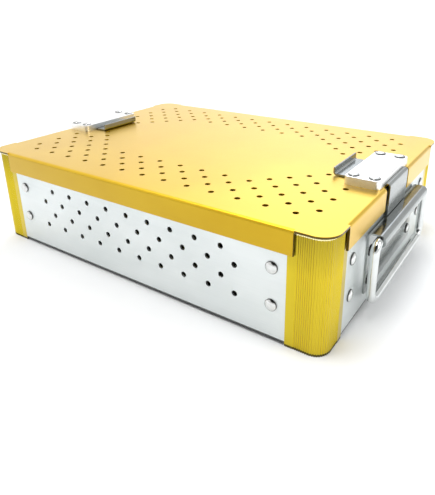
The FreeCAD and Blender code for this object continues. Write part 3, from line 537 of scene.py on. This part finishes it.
# %% Pan, lid, blocks, slides and brackets
PAN_EDGE_MM = 0.15
EDGE_MM = 0.2
edged = [
    ("base_pan", PAN_EDGE_MM, brushed_sheet, "base", "bare_aluminium"),
    ("lid_sheet", EDGE_MM, gold_sheet, "lid", "gold_anodised"),
]
for end in ("left", "right"):
    edged += [
        ("latch_block_" + end, EDGE_MM, block_metal, "lid", "block_metal"),
        ("latch_slide_" + end, EDGE_MM, steel_sheet, "latch_" + end, "polished_steel"),
        ("handle_bracket_" + end, EDGE_MM, steel_sheet, "base", "polished_steel"),
    ]
for node, width_mm, material, body, slot_name in edged:
    place_piece(broken_edges(node, width_mm, material), body, slot_name, node)

# %% [markdown]
# ## Growing a piece from a node tree
#
# Rivets, rods and ribs all follow a rule, and Geometry Nodes keep the rule in view: a tree with
# named sizes makes the shape, and the same tree serves every copy. One helper starts a tree
# with its named sizes. Another puts the tree on an object, fills in the sizes, and keeps the
# result as a plain mesh.

# %% Tree helpers
GROWN_SHARP_DEG = 35


def new_tree(name, sizes):
    """A geometry tree with a metal and named sizes as inputs. Gives the tree and its inputs."""
    tree = bpy.data.node_groups.new(name, "GeometryNodeTree")
    face = tree.interface
    face.new_socket("Geometry", in_out="INPUT", socket_type="NodeSocketGeometry")
    face.new_socket("Metal", in_out="INPUT", socket_type="NodeSocketMaterial")
    for label in sizes:
        face.new_socket(label, in_out="INPUT", socket_type="NodeSocketFloat")
    face.new_socket("Geometry", in_out="OUTPUT", socket_type="NodeSocketGeometry")
    return tree, add(tree, "NodeGroupInput").outputs


def finish_tree(tree, shape, metal_socket):
    """End a tree in real geometry with its metal."""
    real = add(tree, "GeometryNodeRealizeInstances", {"Geometry": shape})
    smooth = add(tree, "GeometryNodeSetShadeSmooth", {"Geometry": real})
    clad = add(tree, "GeometryNodeSetMaterial", {"Geometry": smooth, "Material": metal_socket})
    add(tree, "NodeGroupOutput", {"Geometry": clad})
    print("tree:", tree.name, "with", len(tree.nodes), "nodes")


def grow(name, seed_mesh, tree, material, sizes):
    """Run a tree on a seed mesh and keep the result as a plain mesh."""
    piece = bpy.data.objects.new(name, seed_mesh)
    bpy.context.scene.collection.objects.link(piece)
    modifier = piece.modifiers.new(tree.name, "NODES")
    modifier.node_group = tree
    for item in tree.interface.items_tree:
        if item.in_out == "INPUT" and item.name in sizes:
            modifier[item.identifier] = sizes[item.name]
        elif item.in_out == "INPUT" and item.name == "Metal":
            modifier[item.identifier] = material
    bake(piece)
    piece.data.set_sharp_from_angle(angle=math.radians(GROWN_SHARP_DEG))
    return piece


# %% [markdown]
# ## Drop handles
#
# Each handle is one steel rod, bent into a closed rectangle and welded where the bracket hides
# it. It could be modelled from cylinders and elbows, but a rod is a circle swept along a path:
# a rectangle with rounded corners, smaller at the hinge than at the foot.

# %% The handle's tree
QUARTER_TURN = math.pi / 2
bent_rod, given = new_tree("bent rod", [
    "Rod", "Width", "Drop", "Top bend", "Foot bend", "Hinge X", "Hinge Z"])
path = add(bent_rod, "GeometryNodeCurvePrimitiveQuadrilateral", {
    "Width": given["Width"], "Height": given["Drop"]})
here = add(bent_rod, "GeometryNodeInputPosition")
level = add(bent_rod, "ShaderNodeSeparateXYZ", {"Vector": here}).outputs["Y"]
at_top = add(bent_rod, MATH, {0: level, 1: 0.0}, operation="GREATER_THAN")
bend = add(bent_rod, "ShaderNodeMix", {
    "Factor": at_top, "A": given["Foot bend"], "B": given["Top bend"]})
rounded = add(bent_rod, "GeometryNodeFilletCurve", {
    "Curve": path, "Radius": bend, "Count": 12}, mode="POLY")
half_drop = add(bent_rod, MATH, {0: given["Drop"], 1: 0.5}, operation="MULTIPLY")
middle_z = add(bent_rod, MATH, {0: given["Hinge Z"], 1: half_drop}, operation="SUBTRACT")
spot = add(bent_rod, "ShaderNodeCombineXYZ", {"X": given["Hinge X"], "Z": middle_z})
stood = add(bent_rod, "GeometryNodeTransform", {
    "Geometry": rounded, "Translation": spot, "Rotation": (QUARTER_TURN, 0, QUARTER_TURN)})
half_rod = add(bent_rod, MATH, {0: given["Rod"], 1: 0.5}, operation="MULTIPLY")
section = add(bent_rod, "GeometryNodeCurvePrimitiveCircle", {
    "Resolution": 24, "Radius": half_rod})
rod = add(bent_rod, "GeometryNodeCurveToMesh", {"Curve": stood, "Profile Curve": section})
finish_tree(bent_rod, rod, given["Metal"])

# %% Both handles
HANDLE_TOP_BEND = 6 * MM
HANDLE_FOOT_BEND = 8 * MM
for end in ("left", "right"):
    node = "handle_bail_" + end
    low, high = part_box(node)
    rod_size = high.x - low.x
    sizes = {
        "Rod": rod_size, "Width": high.y - low.y - rod_size, "Drop": high.z - low.z - rod_size,
        "Top bend": HANDLE_TOP_BEND, "Foot bend": HANDLE_FOOT_BEND,
        "Hinge X": (low.x + high.x) / 2, "Hinge Z": high.z - rod_size / 2,
    }
    handle = grow("drop_handle_" + end, bpy.data.meshes.new(node), bent_rod, steel_rod, sizes)
    place_piece(handle, "bail_" + end, "polished_steel", node)

# %% [markdown]
# ## Rivets
#
# A set rivet is a low dome outside, a shank through the sheets and a flat tail inside. They
# could be modelled one by one, but one rivet placed on many points keeps them alike. The points
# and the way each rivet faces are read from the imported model, where each rivet is a loose piece
# of its node: two of its extents are the head's width, and the third is its length. The pieces
# are sorted by place, so that every run builds the same list.

# %% Where the rivets sit
def loose_pieces(node):
    """The lowest and highest corner of each separate solid in a node, in a fixed order."""
    work = bmesh.new()
    work.from_mesh(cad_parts[node].data)
    bmesh.ops.remove_doubles(work, verts=work.verts, dist=SAME_POINT)
    waiting = set(work.verts)
    boxes = []
    while waiting:
        island = [waiting.pop()]
        for vert in island:
            near = [edge.other_vert(vert) for edge in vert.link_edges]
            fresh = [other for other in near if other in waiting]
            waiting.difference_update(fresh)
            island.extend(fresh)
        low = Vector([min(v.co[i] for v in island) for i in range(3)])
        high = Vector([max(v.co[i] for v in island) for i in range(3)])
        boxes.append((low, high))
    work.free()
    return sorted(boxes, key=lambda box: tuple(box[0]))


def rivet_seats(node, head_height):
    """The seat under each head, the way it faces, the head's width and the rivet's length."""
    seats = []
    for low, high in loose_pieces(node):
        extent = high - low
        axis = min(range(3), key=lambda i: abs(extent[i - 1] - extent[i - 2]))
        centre = (low + high) / 2
        outward = -1 if axis < 2 and centre[axis] < 0 else 1
        way_out = Vector([outward if i == axis else 0 for i in range(3)])
        tip = high[axis] if outward > 0 else low[axis]
        centre[axis] = tip - outward * head_height
        seats.append((centre, way_out, extent[axis - 1], extent[axis]))
    return seats


# %% [markdown]
# ### The rivet's tree
#
# The head starts as a flat disc of rings. Each point of its top face is lifted by how near it is
# to the middle, with a power that keeps the crown broad and turns the rim down steeply, as a
# setting tool does. The rim's points keep a mark for the painted shade round the head.

# %% The rivet's head
CROWN_POWER = 2.8
RIM_SHADE_FROM = 0.98
rivet, given = new_tree("set rivet", [
    "Head", "Dome", "Rim", "Grip", "Shank", "Tail", "Tail height"])
head_radius = add(rivet, MATH, {0: given["Head"], 1: 0.5}, operation="MULTIPLY")
disc = add(rivet, "GeometryNodeMeshCylinder", {
    "Vertices": 32, "Side Segments": 1, "Fill Segments": 7,
    "Radius": head_radius, "Depth": given["Dome"]})
here = add(rivet, "GeometryNodeInputPosition")
point = add(rivet, "ShaderNodeSeparateXYZ", {"Vector": here}).outputs
flat = add(rivet, "ShaderNodeCombineXYZ", {"X": point["X"], "Y": point["Y"]})
reach = add(rivet, VECTOR_MATH, {0: flat}, operation="LENGTH").outputs["Value"]
share = add(rivet, MATH, {0: reach, 1: head_radius}, operation="DIVIDE")
fallen = add(rivet, MATH, {0: share, 1: CROWN_POWER}, operation="POWER")
left_over = add(rivet, MATH, {0: 1.0, 1: fallen}, operation="SUBTRACT")
left_over = add(rivet, MATH, {0: left_over, 1: 0.0}, operation="MAXIMUM")
crown = add(rivet, MATH, {0: given["Dome"], 1: given["Rim"]}, operation="SUBTRACT")
bulge = add(rivet, MATH, {0: left_over, 1: crown, 2: given["Rim"]}, operation="MULTIPLY_ADD")
is_top = add(rivet, MATH, {0: point["Z"], 1: 0.0}, operation="GREATER_THAN")
level = add(rivet, MATH, {0: is_top, 1: bulge}, operation="MULTIPLY")
shaped = add(rivet, "ShaderNodeCombineXYZ", {"X": point["X"], "Y": point["Y"], "Z": level})
domed = add(rivet, "GeometryNodeSetPosition", {"Geometry": disc, "Position": shaped})
# The rim's points are marked for the painted shade round each head.
rim_start = add(rivet, MATH, {0: head_radius, 1: RIM_SHADE_FROM}, operation="MULTIPLY")
at_rim = add(rivet, MATH, {0: reach, 1: rim_start}, operation="GREATER_THAN")
head = add(rivet, "GeometryNodeStoreNamedAttribute", {
    "Geometry": domed, "Name": "rim_shade", "Value": at_rim}, data_type="FLOAT", domain="POINT")
print("grime starts at", RIM_SHADE_FROM, "of the head's radius")

# %% The rivet's shank and tail
shank_radius = add(rivet, MATH, {0: given["Shank"], 1: 0.5}, operation="MULTIPLY")
shank = add(rivet, "GeometryNodeMeshCylinder", {
    "Vertices": 16, "Radius": shank_radius, "Depth": given["Grip"]})
shank_z = add(rivet, MATH, {0: given["Grip"], 1: -0.5}, operation="MULTIPLY")
shank_spot = add(rivet, "ShaderNodeCombineXYZ", {"Z": shank_z})
shank_in = add(rivet, "GeometryNodeTransform", {"Geometry": shank, "Translation": shank_spot})
tail_radius = add(rivet, MATH, {0: given["Tail"], 1: 0.5}, operation="MULTIPLY")
tail = add(rivet, "GeometryNodeMeshCylinder", {
    "Vertices": 24, "Radius": tail_radius, "Depth": given["Tail height"]})
half_tail = add(rivet, MATH, {0: given["Tail height"], 1: -0.5}, operation="MULTIPLY")
tail_z = add(rivet, MATH, {0: half_tail, 1: given["Grip"]}, operation="SUBTRACT")
tail_spot = add(rivet, "ShaderNodeCombineXYZ", {"Z": tail_z})
tail_in = add(rivet, "GeometryNodeTransform", {"Geometry": tail, "Translation": tail_spot})

# %% The whole rivet on every seat
whole = add(rivet, "GeometryNodeJoinGeometry")
for part in (tail_in, shank_in, head):
    rivet.links.new(part.outputs[0], whole.inputs[0])
way_out = add(rivet, "GeometryNodeInputNamedAttribute", {
    "Name": "facing"}, data_type="FLOAT_VECTOR")
turned = add(rivet, "FunctionNodeAlignRotationToVector", {"Vector": way_out}, axis="Z")
placed = add(rivet, "GeometryNodeInstanceOnPoints", {
    "Points": given["Geometry"], "Instance": whole, "Rotation": turned})
finish_tree(rivet, placed, given["Metal"])

# %% Every group of rivets
WALL_DOME_MM = 1.8
BLOCK_DOME_MM = 1.4
RIM_SHARE = 0.3
SHANK_MM = 4.0
TAIL_MM = 6.0
TAIL_HEIGHT_MM = 1.0


def rivet_group(node, dome_mm):
    """All rivets of one node, grown from points at their seats."""
    spots, ways_out, heads, lengths = zip(*rivet_seats(node, dome_mm * MM))
    mesh = bpy.data.meshes.new(node)
    mesh.from_pydata([tuple(spot) for spot in spots], [], [])
    ways = mesh.attributes.new("facing", "FLOAT_VECTOR", "POINT")
    for item, way_out in zip(ways.data, ways_out):
        item.vector = way_out
    sizes = {
        "Head": heads[0], "Dome": dome_mm * MM, "Rim": dome_mm * MM * RIM_SHARE,
        "Grip": lengths[0] - (dome_mm + TAIL_HEIGHT_MM) * MM, "Shank": SHANK_MM * MM,
        "Tail": TAIL_MM * MM, "Tail height": TAIL_HEIGHT_MM * MM,
    }
    return grow(node + "_set", mesh, rivet, rivet_metal, sizes)


rivet_groups = [("post_rivets_%s_%s" % (side, end), "base", WALL_DOME_MM)
                for side in ("front", "back") for end in ("left", "right")]
rivet_groups += [("handle_rivets_" + end, "base", WALL_DOME_MM) for end in ("left", "right")]
rivet_groups += [("latch_rivets_" + end, "lid", BLOCK_DOME_MM) for end in ("left", "right")]
for node, body, dome_mm in rivet_groups:
    place_piece(rivet_group(node, dome_mm), body, "rivet_metal", node)

# %% [markdown]
# ## Ribbed corner posts
#
# Each post is one length of a die-drawn bar: a strip that turns a round corner, with fine ribs
# on its outside and a thin flange behind each wall. Cutting ribs one by one would be slow, so
# the strip is a small rectangle swept along an L-shaped path with a rounded corner. The path is
# divided finely, and each of its points keeps its distance along the path, its place and the way
# out of the corner, for the ribs to use afterwards.

# %% The post's strip
POINTS_PER_RIB = 8.0
ribbed_post, given = new_tree("ribbed post", [
    "Corner radius", "Wall", "Height", "Rib pitch", "Rib depth", "Plain strip", "Path length"])
path = add(ribbed_post, "GeometryNodeMeshToCurve", {"Mesh": given["Geometry"]})
bend = add(ribbed_post, "GeometryNodeFilletCurve", {
    "Curve": path, "Radius": given["Corner radius"], "Count": 16}, mode="POLY")
step = add(ribbed_post, MATH, {0: given["Rib pitch"], 1: POINTS_PER_RIB}, operation="DIVIDE")
fine = add(ribbed_post, "GeometryNodeResampleCurve", {
    "Curve": bend, "Length": step}, mode="LENGTH")
upright = add(ribbed_post, "GeometryNodeSetCurveNormal", {"Curve": fine}, mode="Z_UP")
tangent = add(ribbed_post, "GeometryNodeInputTangent")
sideways = add(ribbed_post, VECTOR_MATH, {0: tangent, 1: (0, 0, 1)}, operation="CROSS_PRODUCT")
kept = add(ribbed_post, "GeometryNodeCaptureAttribute", {"Geometry": upright}, domain="POINT")
memory = {
    "Along": add(ribbed_post, "GeometryNodeSplineParameter").outputs["Length"],
    "Rail": add(ribbed_post, "GeometryNodeInputPosition").outputs["Position"],
    "Outward": sideways.outputs["Vector"],
}
for label, source in memory.items():
    kept.capture_items.new("FLOAT" if label == "Along" else "VECTOR", label)
    ribbed_post.links.new(source, kept.inputs[label])
along, rail, outward = (kept.outputs[label] for label in memory)
section = add(ribbed_post, "GeometryNodeCurvePrimitiveQuadrilateral", {
    "Width": given["Wall"], "Height": given["Height"]})
strip = add(ribbed_post, "GeometryNodeCurveToMesh", {
    "Curve": kept, "Profile Curve": section, "Fill Caps": True})
print("kept along the strip:", list(memory))

# %% [markdown]
# ### The ribs
#
# Ribs are a wave along the path. A point of the strip is pushed in by the wave if it lies on the
# outer face and away from the plain strip at each end. Each rib could be cut with sharp corners
# as a die would leave it, but from the camera a cosine with eight points to a rib shows the same
# light and dark lines.

# %% The post's ribs
here = add(ribbed_post, "GeometryNodeInputPosition")
away = add(ribbed_post, VECTOR_MATH, {0: here, 1: rail}, operation="SUBTRACT")
side = add(ribbed_post, VECTOR_MATH, {0: away, 1: outward}, operation="DOT_PRODUCT")
is_outer = add(ribbed_post, MATH, {0: side.outputs["Value"], 1: 0.0}, operation="GREATER_THAN")
to_far_end = add(ribbed_post, MATH, {0: given["Path length"], 1: along}, operation="SUBTRACT")
to_end = add(ribbed_post, MATH, {0: along, 1: to_far_end}, operation="MINIMUM")
in_field = add(ribbed_post, MATH, {0: to_end, 1: given["Plain strip"]}, operation="GREATER_THAN")
ribs_run = add(ribbed_post, MATH, {0: along, 1: given["Plain strip"]}, operation="SUBTRACT")
turns = add(ribbed_post, MATH, {0: ribs_run, 1: given["Rib pitch"]}, operation="DIVIDE")
angle = add(ribbed_post, MATH, {0: turns, 1: math.tau}, operation="MULTIPLY")
wave = add(ribbed_post, MATH, {0: angle}, operation="COSINE")
dip = add(ribbed_post, MATH, {0: wave, 1: -0.5, 2: 0.5}, operation="MULTIPLY_ADD")
ribbed_part = add(ribbed_post, MATH, {0: is_outer, 1: in_field}, operation="MULTIPLY")
masked = add(ribbed_post, MATH, {0: ribbed_part, 1: dip}, operation="MULTIPLY")
inwards = add(ribbed_post, MATH, {0: given["Rib depth"], 1: -1.0}, operation="MULTIPLY")
push = add(ribbed_post, MATH, {0: masked, 1: inwards}, operation="MULTIPLY")
shift = add(ribbed_post, VECTOR_MATH, {0: outward, "Scale": push}, operation="SCALE")
ribs = add(ribbed_post, "GeometryNodeSetPosition", {"Geometry": strip, "Offset": shift})
finish_tree(ribbed_post, ribs, given["Metal"])

# %% [markdown]
# ### Four posts
#
# The tree always pushes ribs in from the same side of its path, so the path of two of the posts
# is drawn backwards. The flanges are two plain boxes behind the walls, joined to each strip.

# %% Four posts
POST_FLANK = 25 * MM
POST_WALL = 3 * MM
POST_RADIUS = 10 * MM
RIB_PITCH = 1.3 * MM
RIB_DEPTH = 0.4 * MM
PLAIN_STRIP = 5.5 * MM
FLANGE_REACH = 15 * MM
FLANGE_WALL = 1.5 * MM
FLANGE_FOOT = 3.4 * MM
INSET = POST_WALL / 2
MID_RADIUS = POST_RADIUS - INSET
PATH_LENGTH = 2 * (POST_FLANK - INSET - MID_RADIUS) + MID_RADIUS * QUARTER_TURN
POST_SIZES = {
    "Corner radius": MID_RADIUS, "Wall": POST_WALL, "Rib pitch": RIB_PITCH,
    "Rib depth": RIB_DEPTH, "Plain strip": PLAIN_STRIP, "Path length": PATH_LENGTH,
}


def add_box(mesh, low, high):
    """Join a plain box to a mesh."""
    work = bmesh.new()
    work.from_mesh(mesh)
    made = bmesh.ops.create_cube(work, size=1.0)
    for vert in made["verts"]:
        vert.co = Vector([low[i] if vert.co[i] < 0 else high[i] for i in range(3)])
    fresh = {face for vert in made["verts"] for face in vert.link_faces}
    bmesh.ops.recalc_face_normals(work, faces=list(fresh))
    work.to_mesh(mesh)
    work.free()


def corner_post(node, across, depth):
    """One post at the corner that lies across (-1 or 1) and in depth (-1 or 1)."""
    low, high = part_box(node)
    x = high.x if across > 0 else low.x
    y = high.y if depth > 0 else low.y
    middle = high.z / 2
    path_points = [
        (x - across * POST_FLANK, y - depth * INSET, middle),
        (x - across * INSET, y - depth * INSET, middle),
        (x - across * INSET, y - depth * POST_FLANK, middle),
    ]
    if across * depth > 0:
        path_points.reverse()
    seed = bpy.data.meshes.new(node)
    seed.from_pydata(path_points, [(0, 1), (1, 2)], [])
    post = grow(node + "_ribbed", seed, ribbed_post, gold_bar, {**POST_SIZES, "Height": high.z})
    behind = (x - across * FLANGE_WALL, y - depth * FLANGE_WALL)
    inside = (x - across * POST_WALL, y - depth * POST_WALL)
    root = POST_FLANK - FLANGE_WALL
    tip = POST_FLANK + FLANGE_REACH
    flanges = [
        ((x - across * root, behind[1], FLANGE_FOOT), (x - across * tip, inside[1], high.z)),
        ((behind[0], y - depth * root, FLANGE_FOOT), (inside[0], y - depth * tip, high.z)),
    ]
    for start, stop in flanges:
        add_box(post.data, start, stop)
    return post


for side, depth in (("front", -1), ("back", 1)):
    for end, across in (("left", -1), ("right", 1)):
        node = "corner_post_%s_%s" % (side, end)
        place_piece(corner_post(node, across, depth), "base", "gold_anodised", node)
